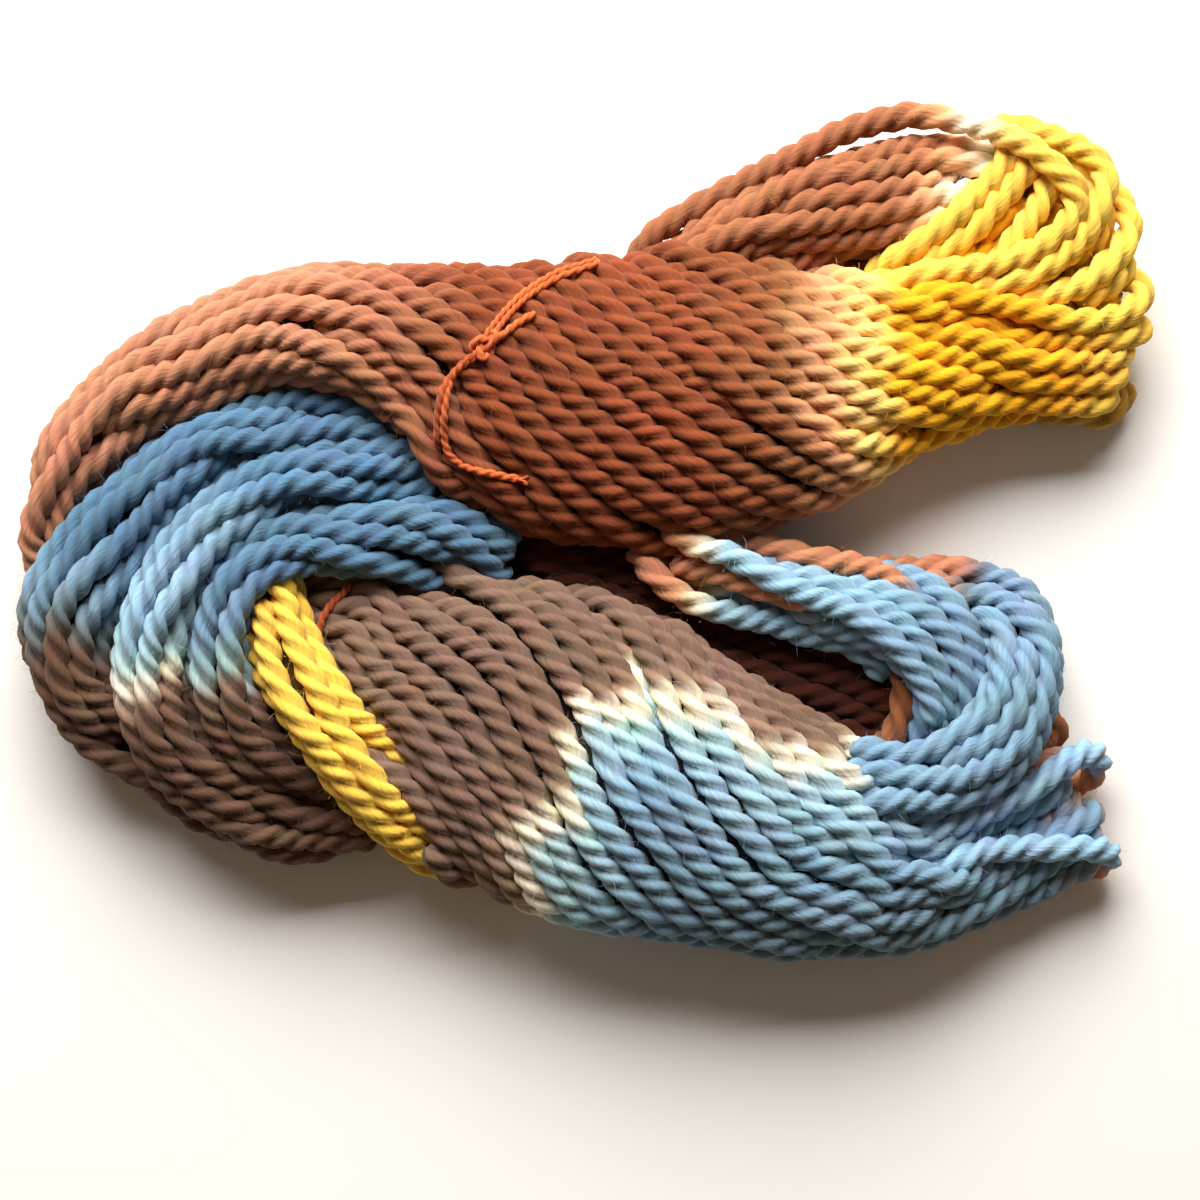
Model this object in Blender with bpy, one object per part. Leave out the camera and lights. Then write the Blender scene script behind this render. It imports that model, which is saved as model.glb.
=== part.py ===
"""A hank of thick hand-dyed yarn, twisted, folded in two and laid on its side, with two thread ties.

The hank is a long loop of three-ply yarn. It is bent double at its left end, so that two twisted arms
point to the right, and each arm ends in an open loop of turns. One solid holds the wound form: every
bundle of parallel turns is a lofted tube, its lobes follow the twist of the turns, and all the bundles
are joined and cut flat where the hank lies on its surface. Two orange threads tie the arms.

X runs along the arms, Y across them and Z up. The origin is under the middle of the hank.
Lengths are in millimetres; MM turns them into Blender's metres.
"""

import math
from collections import namedtuple

import bmesh
import bpy
import numpy as np

MM = 0.001
TIE_DIAMETER = 2.4  # two-ply cotton thread
TIE_LIFT = 0.5  # a tie's centreline stands this far outside the bundle that it goes round
TIE_GAP = 0.35  # between a tie and the groove it lies in
TIE_PITCH = 2.0  # between the doubled threads of the upper tie
ARM_SIDES, BUNDLE_SIDES, TIE_SIDES = 24, 12, 8
ARM_STEP, BUNDLE_STEP, TIE_STEP = 14.0, 13.0, 6.5  # between the rings of a tube
LOBE_DEPTH = 0.035  # of the section's radius
FLOOR_CUT = 30.0  # depth of the block that cuts the underside flat
END_RINGS = ((0.35, 0.92), (0.6, 0.7))  # (share of half_height past the end, share of the section) of a blunt end

# One row for each section along a bundle's course: the middle of the section, its half width across
# the course, its half height, and how far the turns have twisted there, in degrees. A positive twist
# carries the turns on top towards the right-hand side of the course.
Section = namedtuple("Section", "x y z half_width half_height twist")
Bundle = namedtuple("Bundle", "lobes sides step sections")

UPPER_ARM = Bundle(6, ARM_SIDES, ARM_STEP, (
    Section(-162, -22, 9, 8, 9, 0),
    Section(-162, 4, 14, 9, 14, 5),
    Section(-154, 24, 17, 12, 17, 10),
    Section(-140, 39.5, 18, 14, 18, 15),
    Section(-118, 52, 19, 17, 19, 22),
    Section(-87, 61, 20, 20, 21, 32),
    Section(-57, 58, 21, 25, 22, 45),
    Section(-27, 46, 22, 38, 23, 68),
    Section(-8, 41, 22, 43, 24, 88),
    Section(15, 39.5, 22, 44, 24, 112),
    Section(40, 42, 22, 43, 24, 138),
    Section(63, 45, 21, 38, 23, 160),
    Section(93, 51, 19, 27, 20, 182),
    Section(123, 54, 17, 18, 17, 192),
    Section(150, 55, 15, 16, 14, 196),
    Section(162.5, 57, 13, 14, 11, 198),
))
LOWER_ARM = Bundle(6, ARM_SIDES, ARM_STEP, (
    Section(-86, -32, 15, 24, 14, 0),
    Section(-68, -39, 18, 35, 19, 20),
    Section(-50, -47, 21, 41, 22, 42),
    Section(-31, -54, 22, 46, 24, 68),
    Section(-11, -62, 23, 49, 25, 96),
    Section(9, -71, 23, 49, 26, 126),
    Section(30, -79, 23, 44, 25, 154),
    Section(50, -87, 22, 40, 24, 178),
    Section(72, -93.5, 20, 35.5, 22, 196),
    Section(97, -96, 18, 29, 20, 206),
    Section(122, -94, 16, 20, 17, 210),
    Section(138, -87, 15, 21, 14, 212),
    Section(149, -82, 13, 21, 11, 213),
))
OUTER_BEND = Bundle(3, BUNDLE_SIDES, BUNDLE_STEP, (
    Section(-51, 27, 16, 7, 9, 0),
    Section(-72, 32, 20, 9, 11, 5),
    Section(-93, 32, 23, 10, 13, 10),
    Section(-114, 25, 25, 12, 15, 15),
    Section(-131, 10, 25, 15, 16, 20),
    Section(-147.5, -9, 23, 16.5, 17, 28),
    Section(-156, -25, 20, 15.5, 18, 38),
    Section(-154, -43, 17, 13, 17, 48),
    Section(-143, -57, 14, 12, 14, 56),
    Section(-129, -67, 12, 11, 12, 62),
    Section(-111, -78, 11, 10, 11, 68),
    Section(-92, -84, 10, 9, 10, 72),
    Section(-70, -82, 10, 8, 9, 75),
))
INNER_BEND = Bundle(4, BUNDLE_SIDES, BUNDLE_STEP, (
    Section(-31, -3, 17, 12, 13, 0),
    Section(-47, 1, 21, 18, 16, 8),
    Section(-64, 4, 24, 21, 17, 16),
    Section(-84, 7, 27, 19, 17, 24),
    Section(-102, 0, 29, 17, 18, 34),
    Section(-115, -14, 30, 19, 19, 46),
    Section(-121, -32, 28, 21.5, 20, 58),
    Section(-120, -48, 25, 22, 19, 70),
    Section(-111, -62, 21, 20, 18, 80),
    Section(-98, -73, 18, 18, 16, 88),
    Section(-81, -78, 16, 14, 14, 94),
    Section(-62, -78, 14, 10, 11, 98),
))
YELLOW_TURNS = Bundle(3, BUNDLE_SIDES, BUNDLE_STEP, (
    Section(-96, -14, 32, 8, 8, 0),
    Section(-91, -31, 36, 12, 9, 10),
    Section(-83, -49, 35, 12.5, 10, 20),
    Section(-74, -64, 31, 11, 10, 30),
    Section(-62, -79, 24, 8.5, 9, 40),
    Section(-50, -90, 15, 6, 8, 50),
    Section(-40, -94, 9, 4, 5, 60),
))
UPPER_LOOP = Bundle(4, BUNDLE_SIDES, BUNDLE_STEP, (
    Section(15, 64, 11, 9, 10, 0),
    Section(34, 86, 14, 14, 13, 5),
    Section(58, 99, 16, 18, 15, 10),
    Section(86, 106, 17, 21, 16, 15),
    Section(113, 108.5, 18, 19, 17, 20),
    Section(137, 103, 18, 18, 17, 30),
    Section(151, 89, 17, 17, 16, 42),
    Section(157, 73, 15, 14, 14, 52),
    Section(157, 58, 13, 12, 12, 60),
))
YELLOW_CROSSING = Bundle(3, BUNDLE_SIDES, BUNDLE_STEP, (
    Section(150, 105, 22, 9, 9, 0),
    Section(134, 95, 27, 13, 9, 10),
    Section(118, 85, 27, 14, 10, 20),
    Section(103, 77, 24, 12, 10, 30),
    Section(88, 68, 20, 8, 9, 40),
))
UPPER_LOOP_FLOOR = Bundle(3, BUNDLE_SIDES, BUNDLE_STEP, (
    Section(44, 74, 8, 9, 9, 0),
    Section(66, 80, 8, 12, 9, 0),
    Section(92, 80, 8, 13, 9, 0),
    Section(118, 74, 8, 13, 9, 0),
    Section(142, 70, 8, 12, 9, 0),
))
UPPER_TIP = Bundle(3, BUNDLE_SIDES, BUNDLE_STEP, (
    Section(128, 46, 11, 7, 9, 0),
    Section(146, 42, 10, 8, 9, 0),
    Section(158, 44, 9, 8, 8, 0),
))
LOWER_LOOP = Bundle(4, BUNDLE_SIDES, BUNDLE_STEP, (
    Section(66, -84, 24, 11, 12, 0),
    Section(94, -77, 25, 13, 13, 10),
    Section(114, -67, 24, 14, 15, 20),
    Section(127, -49, 21, 14, 16, 32),
    Section(128, -33, 18, 12, 15, 44),
    Section(119, -25, 15, 10, 13, 54),
    Section(108, -23, 13, 8, 11, 60),
))
BLUE_TURNS = Bundle(4, BUNDLE_SIDES, BUNDLE_STEP, (
    Section(20, 0, 11, 8, 9, 0),
    Section(44, -10, 13, 9, 11, 8),
    Section(63, -16, 15, 11, 13, 16),
    Section(81, -21, 17, 13, 14, 24),
    Section(97, -28, 18, 15, 15, 34),
    Section(108, -43, 17, 14, 14, 44),
    Section(108, -56, 15, 12, 13, 52),
    Section(102, -68, 14, 9, 12, 58),
))
RUST_TURNS = Bundle(3, BUNDLE_SIDES, BUNDLE_STEP, (
    Section(-24, -2, 8, 13, 9, 0),
    Section(4, -12, 8, 16, 9, 0),
    Section(30, -24, 8, 19, 9, 0),
    Section(60, -38, 8, 20, 9, 0),
    Section(84, -50, 8, 17, 9, 0),
    Section(102, -62, 8, 12, 8, 0),
))

# Where each tie crosses the top of its arm: how far across the arm, from -1 at its left-hand edge
# along the course to 1 at its right-hand edge, and the X of the place.
TieRow = namedtuple("TieRow", "across x")
UPPER_TIE = (
    TieRow(-1.0, 1),
    TieRow(-0.86, -9),
    TieRow(-0.72, -18),
    TieRow(-0.56, -24),
    TieRow(-0.29, -30),
    TieRow(-0.04, -36),
    TieRow(0.18, -41),
    TieRow(0.47, -42),
    TieRow(0.77, -43),
    TieRow(1.0, -43.5),
)
LOWER_TIE = (
    TieRow(-1.0, -66),
    TieRow(-0.5, -71),
    TieRow(0.0, -76),
    TieRow(0.5, -79),
    TieRow(1.0, -82),
)
KNOT = TieRow(-0.29, -30)
KNOT_RADII = (5.0, 3.0, 2.4)
STUB = (TieRow(-0.32, -28), TieRow(-0.42, -22), TieRow(-0.54, -16))  # the cut end above the knot
TAIL = (  # the free end, which runs from the knot down beside the tie and then out to the right
    TieRow(-0.04, -31.5),
    TieRow(0.14, -35),
    TieRow(0.35, -38),
    TieRow(0.55, -39.3),
    TieRow(0.72, -39.3),
    TieRow(0.84, -37),
    TieRow(0.80, -32),
    TieRow(0.69, -26),
    TieRow(0.61, -20),
)

BROWN, TAUPE, ORANGE = (0.36, 0.14, 0.07, 1), (0.12, 0.07, 0.05, 1), (0.63, 0.15, 0.05, 1)


def smooth(rows, step):
    """Rows along a Catmull-Rom curve through the given rows, about one step apart in X, Y and Z."""
    knots = np.array(rows, float)
    before = 2 * knots[0] - knots[1]
    after = 2 * knots[-1] - knots[-2]
    padded = np.vstack([before, knots, after])
    made = []
    for a, b, c, d in zip(padded, padded[1:], padded[2:], padded[3:]):
        count = max(1, round(float(np.linalg.norm((c - b)[:3])) / step))
        for t in np.arange(count) / count:
            made.append(
                0.5 * (2 * b + (c - a) * t + (2 * a - 5 * b + 4 * c - d) * t**2 + (3 * b - a - 3 * c + d) * t**3)
            )
    made.append(knots[-1])
    return [Section(*row) if len(row) == len(Section._fields) else row for row in made]


def right_hands(sections):
    """The level unit vector to the right of the course at each section."""
    places = np.array([section[:3] for section in sections])
    heading = np.gradient(places, axis=0)
    heading[:, 2] = 0
    heading /= np.linalg.norm(heading, axis=1)[:, None]
    return np.stack([heading[:, 1], -heading[:, 0], np.zeros(len(heading))], axis=1)


def section_point(section, right, angle, lift=0.0):
    """A point on a section's ellipse, or outside it by lift. Angle 0 is its right-hand side, 90 its top."""
    across = (section.half_width + lift) * math.cos(math.radians(angle))
    above = (section.half_height + lift) * math.sin(math.radians(angle))
    return np.array(section[:3]) + right * across + np.array((0.0, 0.0, above))


def lobed_ring(section, right, bundle, share=1.0):
    """One ring of a bundle's skin, whose lobes turn with the twist."""
    ring = []
    middle = np.array(section[:3])
    for k in range(bundle.sides):
        turn = 360 * k / bundle.sides
        lobe = 1 + LOBE_DEPTH * math.cos(math.radians(bundle.lobes * turn))
        ring.append(middle + (section_point(section, right, turn - section.twist) - middle) * lobe * share)
    return ring


def skin_rings(bundle):
    """The rings of a bundle from end to end, with its ends rounded off."""
    sections = smooth(bundle.sections, bundle.step)
    rights = right_hands(sections)
    rings = [lobed_ring(section, right, bundle) for section, right in zip(sections, rights)]
    for end, sense in ((0, -1), (-1, 1)):
        section, right = sections[end], rights[end]
        onwards = sense * np.array((-right[1], right[0], 0.0)) * section.half_height
        for out, share in END_RINGS:
            ring = [point + onwards * out for point in lobed_ring(section, right, bundle, share)]
            rings.insert(0 if end == 0 else len(rings), ring)
    return rings


def lofted(name, rings, closed=False):
    """A mesh object whose skin runs through the rings, capped at both ends or closed into a loop."""
    mesh = bpy.data.meshes.new(name)
    work = bmesh.new()
    rows = [[work.verts.new(point * MM) for point in ring] for ring in rings]
    pairs = list(zip(rows, rows[1:] + rows[:1])) if closed else list(zip(rows, rows[1:]))
    for first, second in pairs:
        for k in range(len(first)):
            after = (k + 1) % len(first)
            work.faces.new((first[k], first[after], second[after], second[k]))
    if not closed:
        work.faces.new(list(reversed(rows[0])))
        work.faces.new(rows[-1])
    bmesh.ops.recalc_face_normals(work, faces=work.faces)
    work.to_mesh(mesh)
    work.free()
    made = bpy.data.objects.new(name, mesh)
    bpy.context.collection.objects.link(made)
    return made


def arm_place(arm, row):
    """The section of an arm on which the place that a row names lies, and the level direction to its right."""
    sections = smooth(arm.sections, 1.0)
    rights = right_hands(sections)
    reached = [section.x + right[0] * row.across * section.half_width for section, right in zip(sections, rights)]
    nearest = int(np.argmin([abs(x - row.x) for x in reached]))
    return sections[nearest], rights[nearest]


def over_arm(arm, rows, lift):
    """Points on top of an arm at the places that the rows of a tie name."""
    places = []
    for row in rows:
        section, right = arm_place(arm, row)
        places.append(section_point(section, right, math.degrees(math.acos(row.across)), lift))
    return places


def round_arm(arm, rows, lift):
    """A closed course over the top of an arm, as the rows say, and straight back beneath it."""
    over = over_arm(arm, rows, lift)
    under = []
    for k in range(1, 6):
        share = k / 6
        across = math.cos(math.pi * share)
        section, right = arm_place(arm, TieRow(across, rows[-1].x + (rows[0].x - rows[-1].x) * share))
        place = section_point(section, right, -180 * share, lift)
        place[2] = max(place[2], TIE_DIAMETER)
        under.append(place)
    return over + under


def tube_rings(course, diameter, closed):
    """Round rings along a course, each turned to face the way the course goes."""
    places = np.array(course)
    if closed:
        heading = np.roll(places, -1, axis=0) - np.roll(places, 1, axis=0)
    else:
        heading = np.gradient(places, axis=0)
    heading /= np.linalg.norm(heading, axis=1)[:, None]
    side = np.cross(heading[0], (0.3, 0.2, 1.0))
    rings = []
    for place, ahead in zip(places, heading):
        side = side - ahead * np.dot(side, ahead)
        side /= np.linalg.norm(side)
        up = np.cross(ahead, side)
        angles = 2 * math.pi * np.arange(TIE_SIDES) / TIE_SIDES
        rings.append([place + diameter / 2 * (side * math.cos(a) + up * math.sin(a)) for a in angles])
    return rings


def resampled(course, step, closed=False):
    """The same course with its points a step apart, on a smooth curve through them."""
    points = [tuple(place) for place in course]
    if closed:
        around = smooth(points[-2:] + points + points[:2], 0.5)
        first = min(range(len(around)), key=lambda k: np.linalg.norm(around[k] - course[0]))
        last = max(range(len(around)), key=lambda k: -np.linalg.norm(around[k] - course[0]) + 0.001 * k)
        dense = np.array(around[first:last + 1])
    else:
        dense = np.array(smooth(points, 0.5))
    along = np.concatenate([[0], np.cumsum(np.linalg.norm(np.diff(dense, axis=0), axis=1))])
    count = max(2, round(along[-1] / step))
    wanted = along[-1] * np.arange(count if closed else count + 1) / count
    return np.stack([np.interp(wanted, along, dense[:, k]) for k in range(3)], axis=1)


def thread(name, course, diameter, closed=False):
    """A round thread along a course."""
    return lofted(name, tube_rings(resampled(course, TIE_STEP, closed), diameter, closed), closed)


def helper(made):
    """Marks an object as a tool for a Boolean, which is not part of the hank."""
    made.hide_render = True
    made.display_type = "WIRE"
    return made


def combine(target, operation, other):
    """Adds a Boolean modifier that joins or cuts the target with a helper."""
    modifier = target.modifiers.new(f"{operation.lower()} {other.name}", "BOOLEAN")
    modifier.operation = operation
    modifier.solver = "MANIFOLD"  # the exact solver leaves open edges where the yellow turns cross the bends
    modifier.object = helper(other)


def block(name, low, high):
    """A box between two corners."""
    mesh = bpy.data.meshes.new(name)
    work = bmesh.new()
    bmesh.ops.create_cube(work, size=1)
    for vert in work.verts:
        vert.co = [(lo + (hi - lo) * (c + 0.5)) * MM for c, lo, hi in zip(vert.co, low, high)]
    work.to_mesh(mesh)
    work.free()
    made = bpy.data.objects.new(name, mesh)
    bpy.context.collection.objects.link(made)
    return made


def painted(made, colour, roughness):
    """Gives an object its plain colour and smooth shading."""
    material = bpy.data.materials.new(made.name)
    material.use_nodes = True
    shader = material.node_tree.nodes["Principled BSDF"]
    shader.inputs["Base Color"].default_value = colour
    shader.inputs["Roughness"].default_value = roughness
    made.data.materials.append(material)
    made.data.shade_smooth()
    return made


def hank():
    """The wound form: its bundles of turns joined, and flat beneath."""
    body = lofted("hank", skin_rings(UPPER_ARM))
    others = {
        "lower_arm": LOWER_ARM,
        "outer_bend": OUTER_BEND,
        "inner_bend": INNER_BEND,
        "yellow_turns": YELLOW_TURNS,
        "upper_loop": UPPER_LOOP,
        "yellow_crossing": YELLOW_CROSSING,
        "upper_loop_floor": UPPER_LOOP_FLOOR,
        "upper_tip": UPPER_TIP,
        "lower_loop": LOWER_LOOP,
        "blue_turns": BLUE_TURNS,
        "rust_turns": RUST_TURNS,
    }
    for name, bundle in others.items():
        combine(body, "UNION", lofted(name, skin_rings(bundle)))
    combine(body, "DIFFERENCE", block("floor_cut", (-250, -250, -FLOOR_CUT), (250, 250, 0)))
    return painted(body, BROWN, 0.95)


def knot(name, grow=0.0):
    """The overhand knot of the upper tie, as one rounded lump, or the pocket that it lies in."""
    mesh = bpy.data.meshes.new(name)
    work = bmesh.new()
    bmesh.ops.create_icosphere(work, subdivisions=2, radius=1)
    middle = over_arm(UPPER_ARM, [KNOT], TIE_LIFT + 0.8)[0]
    before, after = over_arm(UPPER_ARM, [UPPER_TIE[3], UPPER_TIE[5]], TIE_LIFT)
    slant = math.atan2(after[1] - before[1], after[0] - before[0])
    for vert in work.verts:
        long, wide, high = (c * (radius + grow) for c, radius in zip(vert.co, KNOT_RADII))
        x = long * math.cos(slant) - wide * math.sin(slant)
        y = long * math.sin(slant) + wide * math.cos(slant)
        vert.co = [c * MM for c in (middle[0] + x, middle[1] + y, middle[2] + high)]
    work.to_mesh(mesh)
    work.free()
    made = bpy.data.objects.new(name, mesh)
    bpy.context.collection.objects.link(made)
    return made


def upper_tie(body):
    """The thread round the upper arm, doubled above its knot, with the cut end and the knot."""
    course = round_arm(UPPER_ARM, UPPER_TIE, TIE_LIFT)
    double = [
        place + np.array((TIE_PITCH * 0.7, TIE_PITCH * 0.7, 0.0))
        for place in over_arm(UPPER_ARM, UPPER_TIE[:5], TIE_LIFT)
    ]
    stub = over_arm(UPPER_ARM, (KNOT,) + STUB, TIE_LIFT + 0.6)
    groove = TIE_DIAMETER + 2 * TIE_GAP
    for name, line, closed in (("tie_upper", course, True), ("double", double, False), ("stub", stub, False)):
        combine(body, "DIFFERENCE", thread(f"{name}_groove", line, groove, closed))
    combine(body, "DIFFERENCE", knot("knot_pocket", TIE_GAP))
    made = thread("tie_upper", course, TIE_DIAMETER, closed=True)
    combine(made, "UNION", thread("double", double, TIE_DIAMETER))
    combine(made, "UNION", thread("stub", stub, TIE_DIAMETER))
    combine(made, "UNION", knot("knot"))
    return painted(made, ORANGE, 0.7)


def lower_tie(body):
    """The thread round the lower arm, which shows only between the yellow turns and the arm."""
    course = round_arm(LOWER_ARM, LOWER_TIE, TIE_LIFT)
    combine(body, "DIFFERENCE", thread("tie_lower_groove", course, TIE_DIAMETER + 2 * TIE_GAP, closed=True))
    return painted(thread("tie_lower", course, TIE_DIAMETER, closed=True), ORANGE, 0.7)


def upper_tie_tail(body):
    """The free end of the upper tie."""
    course = over_arm(UPPER_ARM, TAIL, TIE_LIFT)
    combine(body, "DIFFERENCE", thread("tail_groove", course, TIE_DIAMETER + 2 * TIE_GAP))
    return painted(thread("tie_upper_tail", course, TIE_DIAMETER), ORANGE, 0.7)


def main():
    for made in list(bpy.data.objects):
        bpy.data.objects.remove(made, do_unlink=True)
    body = hank()
    upper_tie(body)
    upper_tie_tail(body)
    lower_tie(body)


main()
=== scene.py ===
"""The looks of the hank of yarn: every turn of three-ply wool, the orange thread ties, lights and camera.

The turns follow the same bundles as the solid: each bundle is a course of oval sections, and its turns lie
side by side round the sections and wind about the course as the hank is twisted. A short relaxation then
presses the turns apart where they would cross, and a three-lobed tube is wound along each of them.

Lengths in the tables are millimetres in the frame of the CAD model; MM turns them into metres.
"""

import math
from collections import namedtuple

import bpy
import numpy as np
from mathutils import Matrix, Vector


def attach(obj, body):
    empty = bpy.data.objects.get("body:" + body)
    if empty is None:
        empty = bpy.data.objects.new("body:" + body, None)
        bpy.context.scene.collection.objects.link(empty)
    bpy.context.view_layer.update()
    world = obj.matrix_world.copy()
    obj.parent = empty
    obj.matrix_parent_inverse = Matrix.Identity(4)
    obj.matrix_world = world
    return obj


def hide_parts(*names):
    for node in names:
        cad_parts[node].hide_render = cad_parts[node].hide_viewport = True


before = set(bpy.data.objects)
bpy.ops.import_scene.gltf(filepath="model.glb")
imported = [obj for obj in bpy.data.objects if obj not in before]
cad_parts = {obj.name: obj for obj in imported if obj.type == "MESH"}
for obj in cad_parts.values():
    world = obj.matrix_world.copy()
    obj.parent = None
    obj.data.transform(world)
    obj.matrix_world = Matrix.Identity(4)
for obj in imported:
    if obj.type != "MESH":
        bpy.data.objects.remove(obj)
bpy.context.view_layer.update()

MM = 0.001

# The yarn.
YARN_RADIUS = 4.2  # to the crest of a ply
YARN_SPACING = 6.8  # between turns that lie side by side
YARN_CONTACT = 6.3  # turns nearer than this press each other apart
YARN_PLIES, THREAD_PLIES = 3, 2
PLY_PITCH = 23.0  # length in which a ply goes once round the yarn
PLY_SAMPLES = 4  # mesh points across one ply of yarn or thread
PLY_OFFSET, PLY_RADIUS = 0.465, 0.555  # of a ply's middle and its section, as shares of the yarn's radius
# Painted shade: the wool's colour between two plies is darkened to this share, for the shade in their
# grooves.
PLY_GROOVE_SHADE = 0.66  # of the wool between two plies, against their crests
RING_STEP = 1.75  # between the rings of a yarn's mesh
FLOOR_GAP = 0.2  # lowest height of a strand's mesh, and of a fibre's middle line

# How the turns are laid in their bundles.
NODE_STEP = 4.0  # between the points of a turn
GROOVE = 0.32  # width of a gap left between two turns of a bundle, in turns
SUNK_WEIGHT = 0.02  # room taken by a turn that has sunk below its neighbours, in turns
SUNK_DROP = 5.0  # of such a turn on top of a bundle
SUNK_HIDDEN = 0.9  # a turn sunk further than this, from 0 to 1, is left out
HIDDEN_DEPTH = 6.5  # a turn this deep inside another bundle is left out
SHORTEST_RUN = 16.0  # a visible run shorter than this is left out
GOLDEN_RATIO = 0.618034  # by its multiples, the turns that sink are spread round a bundle
CORE_DEPTH = 7.0  # of the dark filling below the outer turns
# Painted shade: the filling's dye is darkened to this share, for the shade deep inside a bundle.
CORE_SHADE = 0.06  # of its colour, against the dye
CORE_SIDES = 16

# How they go round the open end of an arm.
TIP_FLOOR = -3.0  # a turn that ends lower than this, against the end's middle, has no tip
TIP_HEIGHT = 2.5  # least height of a tip above the end's middle
TIP_ROUNDNESS = (0.8, 1.3)  # of a tip's reach beyond the end, against its height,
TIP_EXTRA = (1, 6)  # and the reach added to that
TIP_SWAY = 2.0  # most that a tip strays to either side
TIP_RETURN = (4.0, 8.0, 12.0)  # how far inside the end its last points lie, on the underside

# How they are pressed apart.
RELAX_ROUNDS = 90
PAIRING_ROUNDS = 10  # from one search for neighbouring turns to the next
PAIRING_MARGIN = 4.0  # distance beyond contact that the search takes in
PUSH_SHARE = 0.25  # of an overlap, for each of its two points; every pair is listed twice
LONGEST_MOVE = 1.2  # of a point in a round
SMOOTHING = 0.45  # share by which a point's move is drawn to its neighbours' moves
HOLD = 0.985  # share of its move that a point keeps in a round
TURN_FLOOR = YARN_RADIUS * 0.95  # lowest height of a turn's middle line

# How they vary.
DRIFT_WAVELENGTHS = (37, 61, 103)  # of every slow drift along a turn
TURN_DRIFT, DEPTH_DRIFT = 1.2, 0.8  # of a turn round its bundle, and into it
PLY_DRIFT = 2.6  # of the plies' winding along the yarn
THICKNESS_DRIFT, PLY_THICKNESS_DRIFT = 0.065, 0.07  # of the yarn's and of one ply's radius, as shares
MESH_ROUGHNESS = 0.014  # of each mesh point's radius, as a share
DYE_SCATTER, DYE_DRIFT = 2.8, 1.5  # of where the colours change, from turn to turn and along a turn
TONE_SCATTER = 0.05  # of the dye's brightness from turn to turn, as a share

# Where the underside's dye takes over.
LOW_LEVEL, LOW_BLEND = 13.0, 4.0  # below this height, wholly so this much further down
LOW_START, LOW_RAMP = 92.0, 18.0  # beyond this X, wholly so this much nearer the looped ends

# Loose fibres.
FIBRES_A_METRE = 1150
FIBRE_WIDTH = 0.05
FIBRE_LENGTHS = (2.0, 6.5)
FIBRE_RISES = (0.05, 0.55)  # how far they stand off the yarn, as shares of their length
FIBRE_ROOT = 0.9  # how far out their roots lie, as a share of the yarn's radius
FIBRE_BEND = 2.2  # angle of the sine wave that they follow
FIBRE_POINTS = 4
FIBRE_TONE, LIGHTEST = 1.1, 0.95  # against the dye, and at most

# The ties' thread.
THREAD_RADIUS, DOUBLED_RADIUS = 1.25, 1.05  # the second where it lies double
DOUBLED_ASIDE = 0.85  # of each of the two threads there from their middle
THREAD_PITCH = 6.0  # length in which a ply goes once round the thread
THREAD_WAIST = 0.62  # its radius between the plies, as a share
THREAD_STEP = 0.6  # between the rings of its mesh
THREAD_LIFT = 0.7  # of its centreline above the crests that it presses on
THREAD_TONE_DRIFT = 0.12  # of its brightness, as a share
BRIDGE, EASE = 5, 4  # points to each side over which it bridges grooves, and is smoothed
THINNING = 5  # one in so many points of a draped line is kept where it goes on over an edge
FRAY_LENGTH, FRAY_RADIUS = 3.2, 0.62  # of the parted plies beyond a cut end
FRAY_PARTINGS = (-1.5, 1.35)  # of the two plies to the sides

# A bundle's lean is how far its turns lean to the left as they go round its open end, or None where its
# end isn't open. Its grooves are the numbers of the turns that a gap follows.
Bundle = namedtuple("Bundle", "turns dye lean sections grooves", defaults=((),))
Dye = namedtuple("Dye", "front stops underside")


def linear(red, green, blue):
    """A display colour from 0 to 255 as linear light."""
    share = np.array((red, green, blue)) / 255
    return np.where(share <= 0.04045, share / 12.92, ((share + 0.055) / 1.055) ** 2.4)


def plain(colour, underside=None):
    """A dye of one colour all along the yarn."""
    return Dye(((0, 0), (1, 0)), ((0, colour),), underside)


BROWN = linear(131, 66, 38)
LIGHT_BROWN = linear(182, 124, 94)
WARM_BROWN = linear(140, 84, 50)
RUSSET = linear(160, 100, 68)
TAN = linear(222, 160, 112)
CREAM = linear(240, 230, 204)
PALE_YELLOW = linear(246, 206, 116)
YELLOW = linear(242, 170, 30)
LIGHT_YELLOW = linear(246, 202, 82)
DULL_YELLOW = linear(196, 148, 62)
# Painted shade: a darker copy of BLUE, for the bends' blue where they lie in shade.
SHADED_BLUE = linear(84, 118, 146)
BLUE = linear(122, 154, 178)
SKY_BLUE = linear(146, 182, 208)
SLATE_BLUE = linear(108, 133, 148)
LIGHT_BLUE = linear(152, 188, 206)
CYAN = linear(172, 204, 206)
GREY_BLUE = linear(106, 116, 120)
TAUPE = linear(102, 75, 60)
SOFT_TAUPE = linear(122, 95, 80)
LIGHT_TAUPE = linear(150, 122, 102)
RUST = linear(204, 136, 102)
# Painted shade: a darkened copy of RUST, for the turns in the lower loop's shaded eye.
SHADED_RUST = linear(64, 26, 16)
ORANGE = linear(216, 104, 52)
# Painted shade: a darkened copy of ORANGE, for thread that lies in shade.
SHADED_ORANGE = linear(176, 80, 44)

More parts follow.
